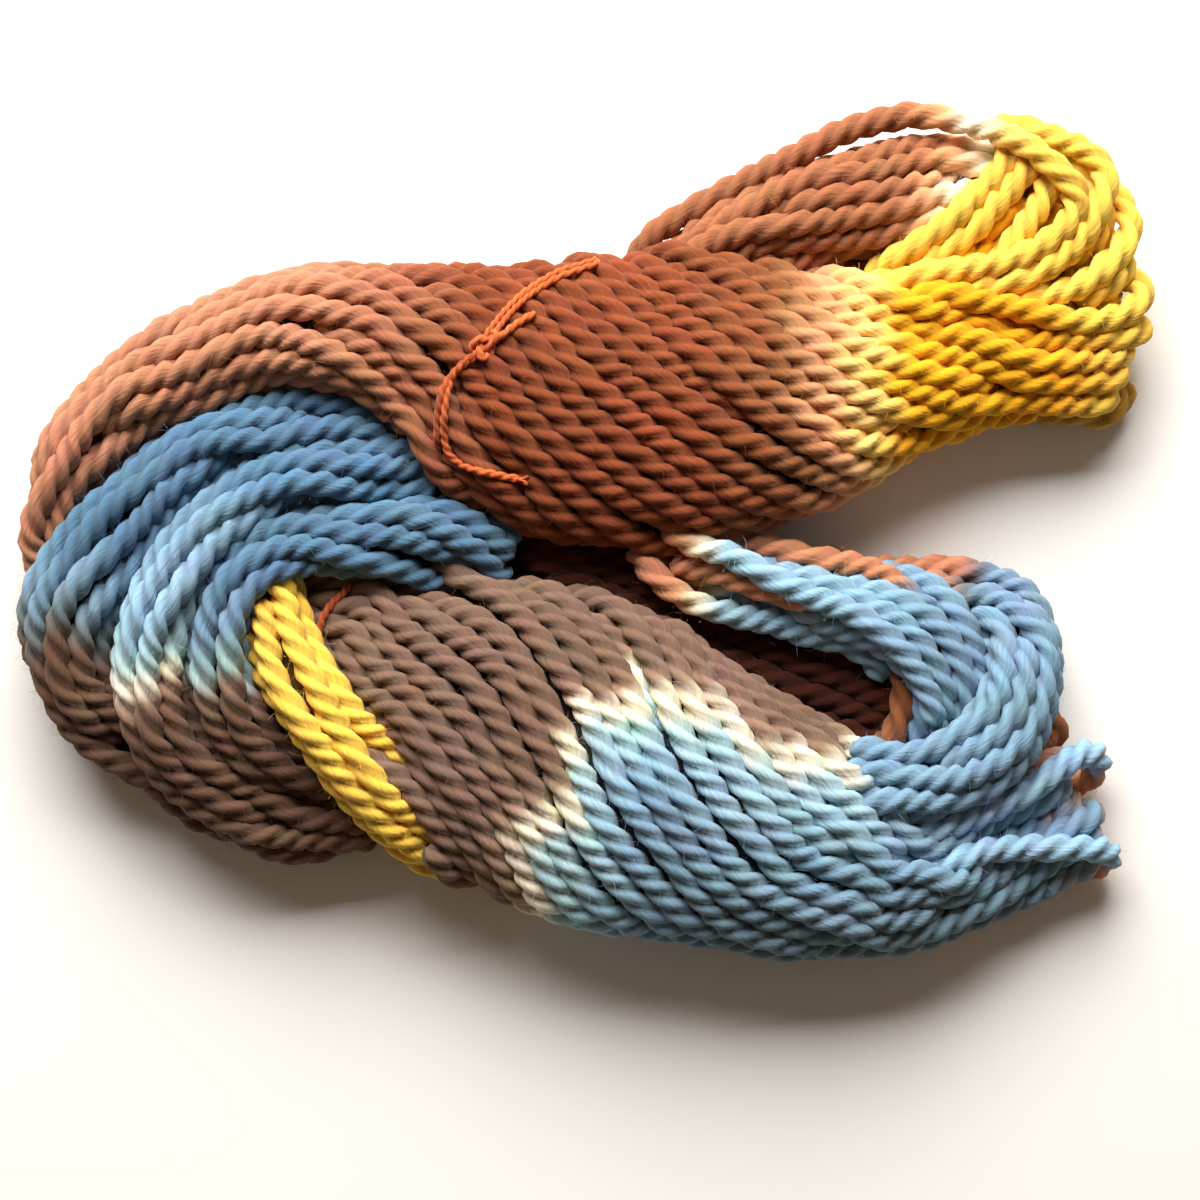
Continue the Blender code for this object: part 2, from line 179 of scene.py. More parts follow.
# A dye changes across a front, a line over the hank. The stops give the colour at distances from the
# front, in millimetres, positive on its left-hand side. The underside may be of another colour, beyond
# LOW_START.
BROWN_TO_YELLOW = Dye(((73, 100), (74, 60), (80, 20), (82, -20)), (
    (-160, LIGHT_BROWN), (-110, BROWN), (-45, BROWN), (-20, WARM_BROWN), (-5, TAN),
    (5, PALE_YELLOW), (16, YELLOW), (60, YELLOW), (80, LIGHT_YELLOW),
), DULL_YELLOW)
LOOP_STOPS = ((-16, RUSSET), (-6, TAN), (2, CREAM), (11, PALE_YELLOW), (22, LIGHT_YELLOW))
LOOP_TO_YELLOW = Dye(((112, 140), (113, 110), (110, 70)), LOOP_STOPS, None)
OUTERMOST_TO_YELLOW = Dye(((112, 140), (112, 108), (60, 80), (0, 60)), LOOP_STOPS, None)
# The bends' dyes darken their blue further on, as painted shade.
TAUPE_TO_BLUE = Dye(((-175, -14), (-160, -24), (-143, -32), (-125, -36)), (
    (-9, TAUPE), (-2, GREY_BLUE), (8, BLUE), (26, SHADED_BLUE),
), None)
TAUPE_CREAM_BLUE = Dye(
    ((-150, -32), (-140, -41), (-129, -43), (-117, -42), (-109, -34), (-100, -30), (0, -30)), (
        (-12, TAUPE), (-5, LIGHT_TAUPE), (0, CREAM), (6, CYAN), (14, LIGHT_BLUE), (24, SKY_BLUE),
        (33, BLUE), (46, SHADED_BLUE),
    ), None,
)
LOBE_DYE = Dye(((-150, -32), (-129, -43), (-112, -46), (-100, -38), (0, -38)), (
    (-12, TAUPE), (-4, LIGHT_TAUPE), (2, CYAN), (10, BLUE), (24, SHADED_BLUE),
), None)
LOWER_ARM_DYE = Dye(
    (
        (130, -58), (72, -64), (51, -62), (33, -49), (15, -44), (0, -54), (-12, -78), (-21, -88),
        (-10, -130),
    ), (
        (-9, SOFT_TAUPE), (-4, LIGHT_TAUPE), (0, CREAM), (3, CREAM), (8, CYAN), (16, LIGHT_BLUE),
        (30, BLUE), (58, SLATE_BLUE),
    ), RUST,
)
RUST_TO_BLUE = Dye(((46, 6), (33, -22)), (
    (-14, RUST), (-6, TAN), (0, CREAM), (6, LIGHT_BLUE), (18, SKY_BLUE), (70, BLUE),
), None)
LATE_RUST_TO_BLUE = Dye(((92, 6), (88, -30)), ((-2, RUST), (6, BLUE)), None)
LOOP_RUST_TO_BLUE = Dye(((119, 4), (106, -26), (60, -40)), ((-4, RUST), (3, GREY_BLUE), (7, BLUE)), None)
TIP_BLUE = plain(SKY_BLUE, RUST)
PLAIN_LIGHT_YELLOW = plain(LIGHT_YELLOW)
# Painted shade: the deeper YELLOW, for the crossing turns, which lie in shade.
PLAIN_SHADED_YELLOW = plain(YELLOW)
PLAIN_SHADED_RUST = plain(SHADED_RUST)
PLAIN_BROWN = plain(BROWN)
PLAIN_WARM_BROWN = plain(WARM_BROWN)

# Each section of a bundle is (x, y, z, half width, half height, twist), with the twist in degrees. Where
# bundles meet, the one listed first lies over the others, whose turns are left out deep inside it.
BUNDLES = {
    "upper_arm": Bundle(22, BROWN_TO_YELLOW, 7.0, grooves=(7,), sections=(
        (-162, -22, 9, 8, 9, 0),
        (-162, 4, 14, 9, 14, 2),
        (-154, 24, 17, 12, 17, 5),
        (-140, 39.5, 18, 14, 18, 9),
        (-118, 52, 19, 17, 19, 15),
        (-87, 61, 20, 20, 21, 26),
        (-57, 58, 21, 25, 22, 50),
        (-27, 46, 22, 38, 23, 86),
        (-8, 41, 22, 43, 24, 116),
        (15, 39.5, 22, 44, 24, 154),
        (40, 42, 22, 43, 24, 201),
        (63, 45, 21, 38, 23, 246),
        (93, 51, 20, 28, 20.5, 304),
        (123, 54, 18, 20, 17, 344),
        (149, 55, 17, 18, 14, 358),
    )),
    "inner_lobe": Bundle(9, LOBE_DYE, None, (
        (-25, -7, 13, 11, 9, -58),
        (-36, -3, 18, 15, 13, -38),
        (-52, 0, 23, 15, 15, -8),
        (-72, -1, 26, 12.5, 16, 20),
        (-90, -2, 28, 11.5, 16, 36),
        (-103, -10, 30, 11, 17, 50),
        (-109, -27, 29, 12, 18, 64),
        (-108, -45, 26, 13, 18, 78),
        (-101, -59, 22, 13, 17, 90),
        (-88, -70, 18, 12, 15, 100),
        (-70, -76, 14, 10, 12, 108),
    )),
    "yellow_turns": Bundle(5, PLAIN_LIGHT_YELLOW, None, (
        (-97, -6, 28, 9.5, 8, -20),
        (-91, -31, 36, 12, 8.5, -18),
        (-82, -49, 39, 12, 8.5, -16),
        (-71, -64, 37, 11.5, 8.5, -14),
        (-59, -79, 31, 10.5, 8.5, -11),
        (-47, -90, 23, 9, 8, -8),
        (-37, -97, 13, 6, 6, -5),
    )),
    "inner_bend": Bundle(9, TAUPE_CREAM_BLUE, None, (
        (-45, 21, 18, 8, 11, 0),
        (-63, 20, 23, 9, 12, 4),
        (-81, 19, 27, 10, 13, 8),
        (-97, 13, 30, 11, 14, 14),
        (-110, 3, 32, 12, 16, 22),
        (-121, -12, 32, 12, 18, 32),
        (-128, -29, 29, 13, 19, 44),
        (-129, -46, 26, 13, 18, 56),
        (-122, -63, 22, 13, 17, 68),
        (-107, -76, 18, 12, 15, 78),
        (-86, -84, 14, 10, 12, 86),
        (-64, -84, 12, 8, 10, 92),
    )),
    "lower_arm": Bundle(26, LOWER_ARM_DYE, 3.0, grooves=(10, 12, 17), sections=(
        (-106, -14, 12, 18, 11, -12),
        (-90, -25, 15, 26, 14, -4),
        (-70, -37, 18, 35, 18, 8),
        (-50, -47, 21, 41, 22, 24),
        (-31, -54, 22, 46, 24, 45),
        (-11, -62, 23, 49, 25, 74),
        (9, -71, 23, 49, 26, 105),
        (30, -79, 23, 44, 25, 136),
        (50, -87, 22, 40, 24, 161),
        (72, -96, 20, 33, 22, 180),
        (97, -102, 17, 23, 18, 194),
        (122, -96, 13, 19, 13, 202),
        (142, -87, 11, 19, 10, 206),
    )),
    "outer_bend": Bundle(10, TAUPE_TO_BLUE, None, (
        (-51, 27, 16, 7, 9, 0),
        (-72, 32, 20, 9, 11, 4),
        (-93, 32, 23, 10, 13, 8),
        (-114, 25, 25, 12, 15, 14),
        (-131, 10, 25, 15, 16, 22),
        (-147.5, -9, 23, 16.5, 17, 30),
        (-156, -25, 20, 15.5, 18, 40),
        (-154, -43, 17, 13, 17, 50),
        (-143, -57, 14, 12, 14, 58),
        (-129, -67, 12, 11, 12, 64),
        (-111, -78, 11, 10, 11, 70),
        (-92, -84, 10, 9, 10, 76),
        (-70, -82, 10, 8, 9, 80),
    )),
    "lower_loop": Bundle(10, LOOP_RUST_TO_BLUE, None, (
        (62, -76, 19, 9, 12, 0),
        (78, -74, 22, 10, 13, 4),
        (93, -74, 24, 11, 13, 8),
        (108, -70, 25, 13, 14, 16),
        (120, -61, 24, 14, 15, 24),
        (127, -48, 22, 13.5, 16, 32),
        (129, -34, 19, 12, 15, 42),
        (124, -24, 15, 9, 12, 52),
        (113, -18, 11, 7, 9, 60),
        (98, -16, 8, 6, 7, 66),
        (84, -13, 7, 6, 6, 70),
    )),
    "blue_turns": Bundle(8, RUST_TO_BLUE, None, (
        (20, 0, 11, 8, 9, 0),
        (44, -10, 13, 9, 11, 6),
        (63, -16, 15, 11, 13, 14),
        (81, -21, 17, 13, 14, 24),
        (97, -28, 18, 14, 15, 36),
        (108, -43, 17, 13, 14, 48),
        (108, -56, 15, 12, 13, 58),
        (102, -68, 14, 9, 12, 66),
    )),
    # Painted shade: the crossing turns take the deeper yellow, for the shade they lie in.
    "yellow_crossing": Bundle(8, PLAIN_SHADED_YELLOW, None, (
        (142, 106, 12, 10, 8, 0),
        (131, 98, 15, 12, 9, 6),
        (117, 88, 17, 13, 9, 14),
        (103, 78, 17, 12, 9, 24),
        (90, 68, 15, 9, 8, 34),
    )),
    "upper_loop": Bundle(12, LOOP_TO_YELLOW, None, (
        (16, 62, 11, 8, 10, 0),
        (36, 83, 14, 13, 13, 4),
        (60, 95, 16, 16, 15, 8),
        (87, 101.5, 16, 18, 15, 12),
        (113, 105.5, 14.5, 17, 12.5, 16),
        (134, 102, 12, 14, 10, 24),
        (146, 93, 11, 12, 9, 34),
        (149, 80, 11, 11, 9, 44),
        (143, 68, 11, 10, 9, 54),
    )),
    "upper_loop_floor": Bundle(8, PLAIN_BROWN, None, (
        (44, 74, 8, 9, 9, 0),
        (66, 80, 8, 12, 9, 0),
        (92, 80, 8, 13, 9, 0),
        (118, 74, 8, 13, 9, 0),
        (142, 70, 8, 12, 9, 0),
    )),
    # Painted shade: the turns in the eye are coloured a darkened rust.
    "rust_turns": Bundle(9, PLAIN_SHADED_RUST, None, (
        (-24, -2, 8, 13, 9, 0),
        (4, -12, 8, 16, 9, 0),
        (30, -24, 8, 19, 9, 0),
        (60, -38, 8, 20, 9, 0),
        (84, -50, 8, 17, 9, 0),
        (102, -62, 8, 12, 8, 0),
    )),
}

# Turns that lie on their own, outside the bundles: each one's dye and the places (x, y, z) on its way.
LONE_TURNS = (
    # Round and across the upper arm's loop, the outermost first.
    (OUTERMOST_TO_YELLOW, (
        (13, 78, 8), (18, 89, 12), (30, 97.5, 15), (45, 105, 17), (62, 114.5, 19),
        (77, 122, 20), (92, 125.5, 22), (101, 125.5, 24), (115, 121.5, 29), (122, 118.5, 32),
        (130, 114, 34), (136, 109, 35), (142, 103, 35), (144, 97, 34), (141, 91, 34),
        (134, 85, 33), (124, 80, 32), (113, 78, 31), (101, 76.5, 29), (90, 75, 25),
        (80, 71, 18),
    )),
    (PLAIN_LIGHT_YELLOW, (
        (120, 122, 22), (134, 117.5, 25), (146, 114, 27), (152, 107, 29), (150, 99, 32),
        (146, 91, 33), (139, 83, 33), (130, 77, 32), (119, 73.5, 31), (107, 71.5, 29),
        (98, 69, 25), (90, 65, 18),
    )),
    (PLAIN_LIGHT_YELLOW, (
        (148, 110, 18), (156, 103, 21), (159.5, 96, 24), (160, 89.5, 26), (157, 83.5, 28),
        (152, 78, 30), (147, 73.5, 30), (139, 70.5, 30), (129, 68.5, 30), (118, 68.5, 28),
    )),
    (PLAIN_LIGHT_YELLOW, (
        (139, 113, 19), (147, 105.5, 22), (151.5, 97, 23), (151.5, 89, 23),
        (147, 82, 22), (141, 76.5, 20),
    )),
    (PLAIN_LIGHT_YELLOW, (
        (127, 121, 20), (124, 113, 27), (120, 106.5, 29), (115.5, 101.5, 29),
        (110, 96, 29), (104.5, 90.5, 28), (99, 85, 27), (93, 80, 24), (87, 74, 18), (82, 67, 12),
    )),
    (PLAIN_LIGHT_YELLOW, (
        (136, 116, 20), (131, 110, 26), (127, 106, 28), (123.5, 101.5, 28), (119.5, 97, 28),
        (116, 91.5, 27), (110, 85.5, 26), (103, 80.5, 23), (96, 75, 18), (90, 69, 13),
    )),
    (PLAIN_LIGHT_YELLOW, (
        (136, 108, 20), (132, 99, 24), (127.5, 93.5, 25), (122, 87.5, 24), (116, 81.5, 22),
        (108, 76, 18),
    )),
    (BROWN_TO_YELLOW, (
        (84, 73, 25), (99, 71, 28), (114, 69.5, 29), (130, 66, 30), (142, 63, 29),
        (153, 63.5, 28), (161, 67.5, 26), (164.5, 73, 22), (161, 78, 18), (154, 79, 15),
    )),
    (PLAIN_LIGHT_YELLOW, (
        (144, 67, 22), (153, 71, 22), (158, 77, 20), (156, 84, 17),
    )),
    (BROWN_TO_YELLOW, (
        (126, 40, 8), (138, 39.5, 9), (147, 38.5, 9), (155, 37.5, 9), (161, 41, 8),
        (163, 48, 7),
    )),
    # Round the lower arm's loop, its eye and its tips.
    (RUST_TO_BLUE, (
        (13, -2, 18), (17, -8, 24), (24, -15, 26), (34, -20, 25), (46, -22.5, 23),
        (60, -23, 22), (75, -27, 21), (87, -35, 20), (93, -45, 18),
    )),
    (RUST_TO_BLUE, (
        (20, 1, 20), (30, -3, 27), (42, -6.5, 30), (54, -13, 31), (66, -18.5, 31),
        (81, -24.5, 32), (93, -35, 31), (101, -48, 28), (105, -60, 23),
    )),
    (LATE_RUST_TO_BLUE, (
        (24, -5, 18), (36, -9, 23), (48, -14.5, 25), (60, -19, 25), (73, -24, 22),
        (86, -32, 18),
    )),
    (LATE_RUST_TO_BLUE, (
        (34, -3, 16), (48, -6.5, 20), (62, -9, 22), (76, -10.5, 22), (90, -13, 21),
        (101, -19, 20), (109, -27, 18), (115, -37, 16),
    )),
    (PLAIN_WARM_BROWN, (
        (86, -30, 15), (92, -41, 18), (94, -51, 19), (93, -59, 19), (88, -65.5, 18),
        (79, -69.5, 16), (70, -72, 12),
    )),
    (TIP_BLUE, (
        (84, -92, 26), (100, -88, 27), (115, -82.5, 26), (130, -76, 24), (139, -70, 22), (146, -65.5, 20),
        (151, -65, 17), (153, -69, 12), (150, -75, 7), (142, -78, 5),
    )),
    (TIP_BLUE, (
        (92, -100, 27), (107, -96, 27), (122, -93.5, 24), (138, -93, 21), (149, -93, 17), (154, -95, 12),
        (153, -98, 8), (145, -99, 5),
    )),
    (PLAIN_WARM_BROWN, (
        (126, -72, 8), (137, -66, 9), (142, -60, 9), (139, -53, 9),
    )),
)


def through(rows, step):
    """Rows about a step apart on a Catmull-Rom curve through the given rows."""
    knots = np.asarray(rows, float)
    padded = np.vstack([2 * knots[0] - knots[1], knots, 2 * knots[-1] - knots[-2]])
    made = []
    for a, b, c, d in zip(padded, padded[1:], padded[2:], padded[3:]):
        count = max(1, round(float(np.linalg.norm((c - b)[:3])) / step))
        t = (np.arange(count) / count)[:, None]
        square = 2 * a - 5 * b + 4 * c - d
        cube = 3 * b - a - 3 * c + d
        made.append(0.5 * (2 * b + (c - a) * t + square * t**2 + cube * t**3))
    return np.vstack(made + [knots[-1:]])


def lengths_along(points):
    """The length of a line from its start to each of its points."""
    return np.concatenate([[0], np.cumsum(np.linalg.norm(np.diff(points, axis=0), axis=1))])


def respaced(points, step):
    """The same line with its points evenly spaced, about a step apart."""
    along = lengths_along(points)
    wanted = np.linspace(0, along[-1], max(3, round(along[-1] / step) + 1))
    return np.stack([np.interp(wanted, along, column) for column in points.T], axis=1)


def resampled(points, count):
    """The same line with another number of points."""
    wanted, share = np.linspace(0, 1, count), np.linspace(0, 1, len(points))
    return np.stack([np.interp(wanted, share, column) for column in points.T], axis=1)


class Course:
    """A bundle's sections, close together, with the directions of its course."""

    def __init__(self, sections):
        rows = respaced(through(sections, NODE_STEP / 2), NODE_STEP)
        self.middle = rows[:, :3]
        self.half_width = rows[:, 3]
        self.half_height = rows[:, 4]
        self.twist = rows[:, 5] / 360
        heading = np.gradient(self.middle, axis=0)
        heading[:, 2] = 0
        self.heading = heading / np.linalg.norm(heading, axis=1)[:, None]
        self.right = np.stack([self.heading[:, 1], -self.heading[:, 0], np.zeros(len(heading))], axis=1)

    def nearest(self, points):
        """The index of the section nearest to each point, seen from above."""
        apart = points[:, None, :2] - self.middle[None, :, :2]
        return np.argmin((apart**2).sum(axis=2), axis=1)

    def depth_of(self, points):
        """How deep each point lies inside the bundle; below 0 it is outside."""
        k = self.nearest(points)
        offset = points - self.middle[k]
        across = (offset * self.right[k]).sum(axis=1)
        along = (offset * self.heading[k]).sum(axis=1)
        radius = np.sqrt((across / self.half_width[k]) ** 2 + (offset[:, 2] / self.half_height[k]) ** 2)
        depth = (1 - radius) * np.minimum(self.half_width[k], self.half_height[k])
        return np.where(np.abs(along) > NODE_STEP, -1.0, depth)


ELLIPSE_ANGLES = np.linspace(0, 2 * math.pi, 97)


def ellipse_table(half_width, half_height):
    """The share of the way round an ellipse at each of ELLIPSE_ANGLES, and its perimeter."""
    angles = ELLIPSE_ANGLES
    points = np.stack([half_width * np.cos(angles), half_height * np.sin(angles)], axis=1)
    along = lengths_along(points)
    return along / along[-1], along[-1]


def wander(rng, along, size):
    """A smooth random drift along a turn."""
    drift = np.zeros(len(along))
    for wavelength in DRIFT_WAVELENGTHS:
        drift += np.sin(2 * math.pi * (along / wavelength + rng.random())) * (0.4 + 0.6 * rng.random())
    return size * drift / 2


def hairpin(course, across, above, lean, rng):
    """The stretch of a turn that goes round the open end of an arm, from its top to its underside."""
    middle, heading, right = course.middle[-1], course.heading[-1], course.right[-1]
    up = np.array((0.0, 0.0, 1.0))
    above = max(above, TIP_HEIGHT)
    reach = max(above, YARN_RADIUS) * rng.uniform(*TIP_ROUNDNESS) + rng.uniform(*TIP_EXTRA)
    sideways = rng.uniform(-TIP_SWAY, TIP_SWAY) - lean
    points = []
    for angle in np.linspace(0, math.pi, 9)[1:]:
        out = heading * reach * math.sin(angle)
        aside = across + sideways * math.sin(angle / 2) ** 2
        points.append(middle + out + right * aside + up * above * math.cos(angle))
    for back in TIP_RETURN:
        points.append(middle - heading * back + right * (across + sideways) - up * above)
    return np.array(points)


def with_tip(line, shown, across, above, bundle, course, rng):
    """A turn and where it shows, carried on round the end of its bundle if that is open."""
    if bundle.lean is None:
        return line, shown
    if above > TIP_FLOOR and shown[-1]:
        tip = hairpin(course, across, above, bundle.lean, rng)
        return np.vstack([line, tip]), np.concatenate([shown, np.ones(len(tip), bool)])
    shown[-4:] = False
    return line, shown


def packed(bundle, room):
    """Each turn's share of the way round every section, and how far it has sunk, from 0 to 1.

    Where the way round a section has room for fewer turns than the bundle holds, some of them sink below
    their neighbours, and the rest close up over them.
    """
    number = np.arange(bundle.turns)
    order = np.argsort(np.argsort((number * GOLDEN_RATIO) % 1))
    sunk = np.clip((order[:, None] + 1 - room[None, :]) / 2, 0, 1)
    weight = 1 + SUNK_WEIGHT - sunk
    groove = GROOVE * np.isin(number, bundle.grooves)[:, None]
    taken = weight + groove
    before = np.cumsum(taken, axis=0) - groove - weight / 2
    return before / taken.sum(axis=0), sunk


def bundle_turns(bundle, course, rng):
    """The turns of a bundle as lines of points, side by side round its sections, and where each shows."""
    along = lengths_along(course.middle)
    shells = [
        ellipse_table(max(w - YARN_RADIUS, 1.5), max(h - YARN_RADIUS, 1.5))
        for w, h in zip(course.half_width, course.half_height)
    ]
    perimeter = np.array([length for _, length in shells])
    slope = perimeter * np.gradient(course.twist, along)
    room = perimeter / np.sqrt(1 + slope**2) / YARN_SPACING - GROOVE * len(bundle.grooves)
    shares, sunk = packed(bundle, room)
    turns = []
    for k in range(bundle.turns):
        share = shares[k] - course.twist + wander(rng, along, TURN_DRIFT) / perimeter
        angle = np.array([np.interp(s % 1, table, ELLIPSE_ANGLES) for s, (table, _) in zip(share, shells)])
        depth = sunk[k] * sunk[k] * (3 - 2 * sunk[k])
        inset = YARN_RADIUS * (1 + 2 * depth) + wander(rng, along, DEPTH_DRIFT)
        across = np.maximum(course.half_width - inset, 0.5) * np.cos(angle)
        above = np.maximum(course.half_height - inset, 0.5) * np.sin(angle)
        line = course.middle + course.right * across[:, None]
        line[:, 2] += above - SUNK_DROP * depth * (above > 0)
        turns.append(with_tip(line, sunk[k] < SUNK_HIDDEN, across[-1], above[-1], bundle, course, rng))
    return turns


def visible_runs(line, shown, others):
    """The stretches of a turn that aren't deep inside other bundles."""
    for other in others:
        shown = shown & (other.depth_of(line) < HIDDEN_DEPTH)
    edges = np.flatnonzero(np.diff(np.concatenate([[0], shown.astype(int), [0]])))
    for first, last in zip(edges[::2], edges[1::2]):
        run = line[first:last]
        if len(run) > 2 and lengths_along(run)[-1] > SHORTEST_RUN:
            yield respaced(run, NODE_STEP)


def near_pairs(points, turn, reach):
    """Pairs of points of different turns within reach of each other, found through a grid of cells."""
    cell = np.floor(points / reach).astype(np.int64)
    cell -= cell.min(axis=0) - 1
    size = cell.max(axis=0) + 2
    key = (cell[:, 0] * size[1] + cell[:, 1]) * size[2] + cell[:, 2]
    order = np.argsort(key, kind="stable")
    ordered = key[order]
    found = []
    for dx in (-1, 0, 1):
        for dy in (-1, 0, 1):
            for dz in (-1, 0, 1):
                wanted = key + (dx * size[1] + dy) * size[2] + dz
                low = np.searchsorted(ordered, wanted, "left")
                high = np.searchsorted(ordered, wanted, "right")
                count = high - low
                first = np.repeat(np.arange(len(points)), count)
                step = np.arange(count.sum()) - np.repeat(np.cumsum(count) - count, count)
                second = order[np.repeat(low, count) + step]
                keep = turn[first] != turn[second]
                found.append(np.stack([first[keep], second[keep]], axis=1))
    pairs = np.vstack(found)
    near = np.linalg.norm(points[pairs[:, 0]] - points[pairs[:, 1]], axis=1) < reach
    return pairs[near]


def headings(points, starts, ends):
    """The direction of the turn at each of its points."""
    heading = np.gradient(points, axis=0)
    heading[starts] = points[starts + 1] - points[starts]
    heading[ends] = points[ends] - points[ends - 1]
    return heading / (np.linalg.norm(heading, axis=1)[:, None] + 1e-9)


def pushes(points, heading, pairs):
    """How far each point moves in a round, away from the turns that press on it."""
    apart = points[pairs[:, 0]] - points[pairs[:, 1]]
    other = heading[pairs[:, 1]]
    along = (apart * other).sum(axis=1)
    apart = apart - other * along[:, None]
    distance = np.linalg.norm(apart, axis=1) + 1e-6
    touching = (distance < YARN_CONTACT) & (np.abs(along) < NODE_STEP * 0.6)
    push = np.where(touching, YARN_CONTACT - distance, 0)
    move = apart / distance[:, None] * (push * PUSH_SHARE)[:, None]
    shift = np.zeros_like(points)
    np.add.at(shift, pairs[:, 0], move)
    np.add.at(shift, pairs[:, 1], -move)
    size = np.linalg.norm(shift, axis=1)
    return shift * np.minimum(1, LONGEST_MOVE / (size + 1e-9))[:, None]


def relaxed(runs):
    """The runs pressed apart where they would cross, above the floor and close to where they were laid."""
    laid = np.vstack(runs)
    sizes = np.array([len(run) for run in runs])
    turn = np.repeat(np.arange(len(runs)), sizes)
    starts = np.cumsum(sizes) - sizes
    ends = starts + sizes - 1
    inner = np.setdiff1d(np.arange(len(laid)), np.concatenate([starts, ends]))
    points = laid.copy()
    for number in range(RELAX_ROUNDS):
        if number % PAIRING_ROUNDS == 0:
            pairs = near_pairs(points, turn, YARN_CONTACT + PAIRING_MARGIN)
        points += pushes(points, headings(points, starts, ends), pairs)
        drift = points - laid
        drift[inner] += SMOOTHING * ((drift[inner - 1] + drift[inner + 1]) / 2 - drift[inner])
        points = laid + drift * HOLD
        points[:, 2] = np.maximum(points[:, 2], TURN_FLOOR)
    return [points[start:start + size] for start, size in zip(starts, sizes)]


def past_front(points, front):
    """The distance of each point from a dye's front, seen from above, positive on its left-hand side."""
    front = np.asarray(front, float)
    best = np.full(len(points), np.inf)
    signed = np.zeros(len(points))
    for k, (start, end) in enumerate(zip(front, front[1:])):
        run = end - start
        away = points[:, :2] - start
        share = away @ run / (run @ run)
        low = -np.inf if k == 0 else 0
        high = np.inf if k == len(front) - 2 else 1
        gap = away - np.clip(share, low, high)[:, None] * run
        distance = np.linalg.norm(gap, axis=1)
        side = np.sign(run[0] * away[:, 1] - run[1] * away[:, 0])
        closer = distance < best
        best = np.where(closer, distance, best)
        signed = np.where(closer, side * distance, signed)
    return signed


def dyed(points, dye, offset):
    """The colour of each point of a turn, which takes the dye as if it lay further on by the offset."""
    past = past_front(points, dye.front) + offset
    places = [place for place, _ in dye.stops]
    colours = np.array([colour for _, colour in dye.stops])
    colour = np.stack([np.interp(past, places, channel) for channel in colours.T], axis=1)
    if dye.underside is None:
        return colour
    low = np.clip((LOW_LEVEL - points[:, 2]) / LOW_BLEND, 0, 1)
    looped = np.clip((points[:, 0] - LOW_START) / LOW_RAMP, 0, 1)
    share = (low * looped)[:, None]
    return colour * (1 - share) + dye.underside * share


def ply_outline(plies):
    """Angles and radii, as shares of the strand's radius, of a section through its plies."""
    count = plies * PLY_SAMPLES
    angles = 2 * math.pi * np.arange(count) / count
    if plies == THREAD_PLIES:
        return angles, THREAD_WAIST + (1 - THREAD_WAIST) * np.abs(np.cos(angles))
    from_ply = (angles + math.pi / plies) % (2 * math.pi / plies) - math.pi / plies
    to_side = PLY_OFFSET * np.sin(from_ply)
    return angles, PLY_OFFSET * np.cos(from_ply) + np.sqrt(PLY_RADIUS**2 - to_side**2)


def frames_along(points):
    """Directions across a line that turn as little as possible along it."""
    heading = np.gradient(points, axis=0)
    heading /= np.linalg.norm(heading, axis=1)[:, None]
    side = np.empty_like(points)
    first = np.cross(heading[0], (0.31, 0.17, 0.93))  # askew to every line
    side[0] = first / np.linalg.norm(first)
    for k in range(1, len(points)):
        turned = side[k - 1] - heading[k] * np.dot(side[k - 1], heading[k])
        side[k] = turned / np.linalg.norm(turned)
    return side, np.cross(heading, side)


def tube_faces(rows, columns):
    """The quads between the rings of a tube."""
    index = np.arange(rows * columns).reshape(rows, columns)
    after = np.roll(index, -1, axis=1)
    return np.stack([index[:-1], after[:-1], after[1:], index[1:]], axis=2).reshape(-1, 4)


def ply_uvs(around, turns, rng):
    """The fibre map's place for each corner of a strand's quads: across its plies, and along them."""
    across = np.concatenate([around, around[:, :1] + 2 * math.pi], axis=1) / (2 * math.pi)
    along = np.repeat(turns[:, None], across.shape[1], axis=1)
    place = np.stack([across, along], axis=2) + rng.random(2) * 50
    corners = [place[:-1, :-1], place[:-1, 1:], place[1:, 1:], place[1:, :-1]]
    return np.stack(corners, axis=2).reshape(-1, 2)


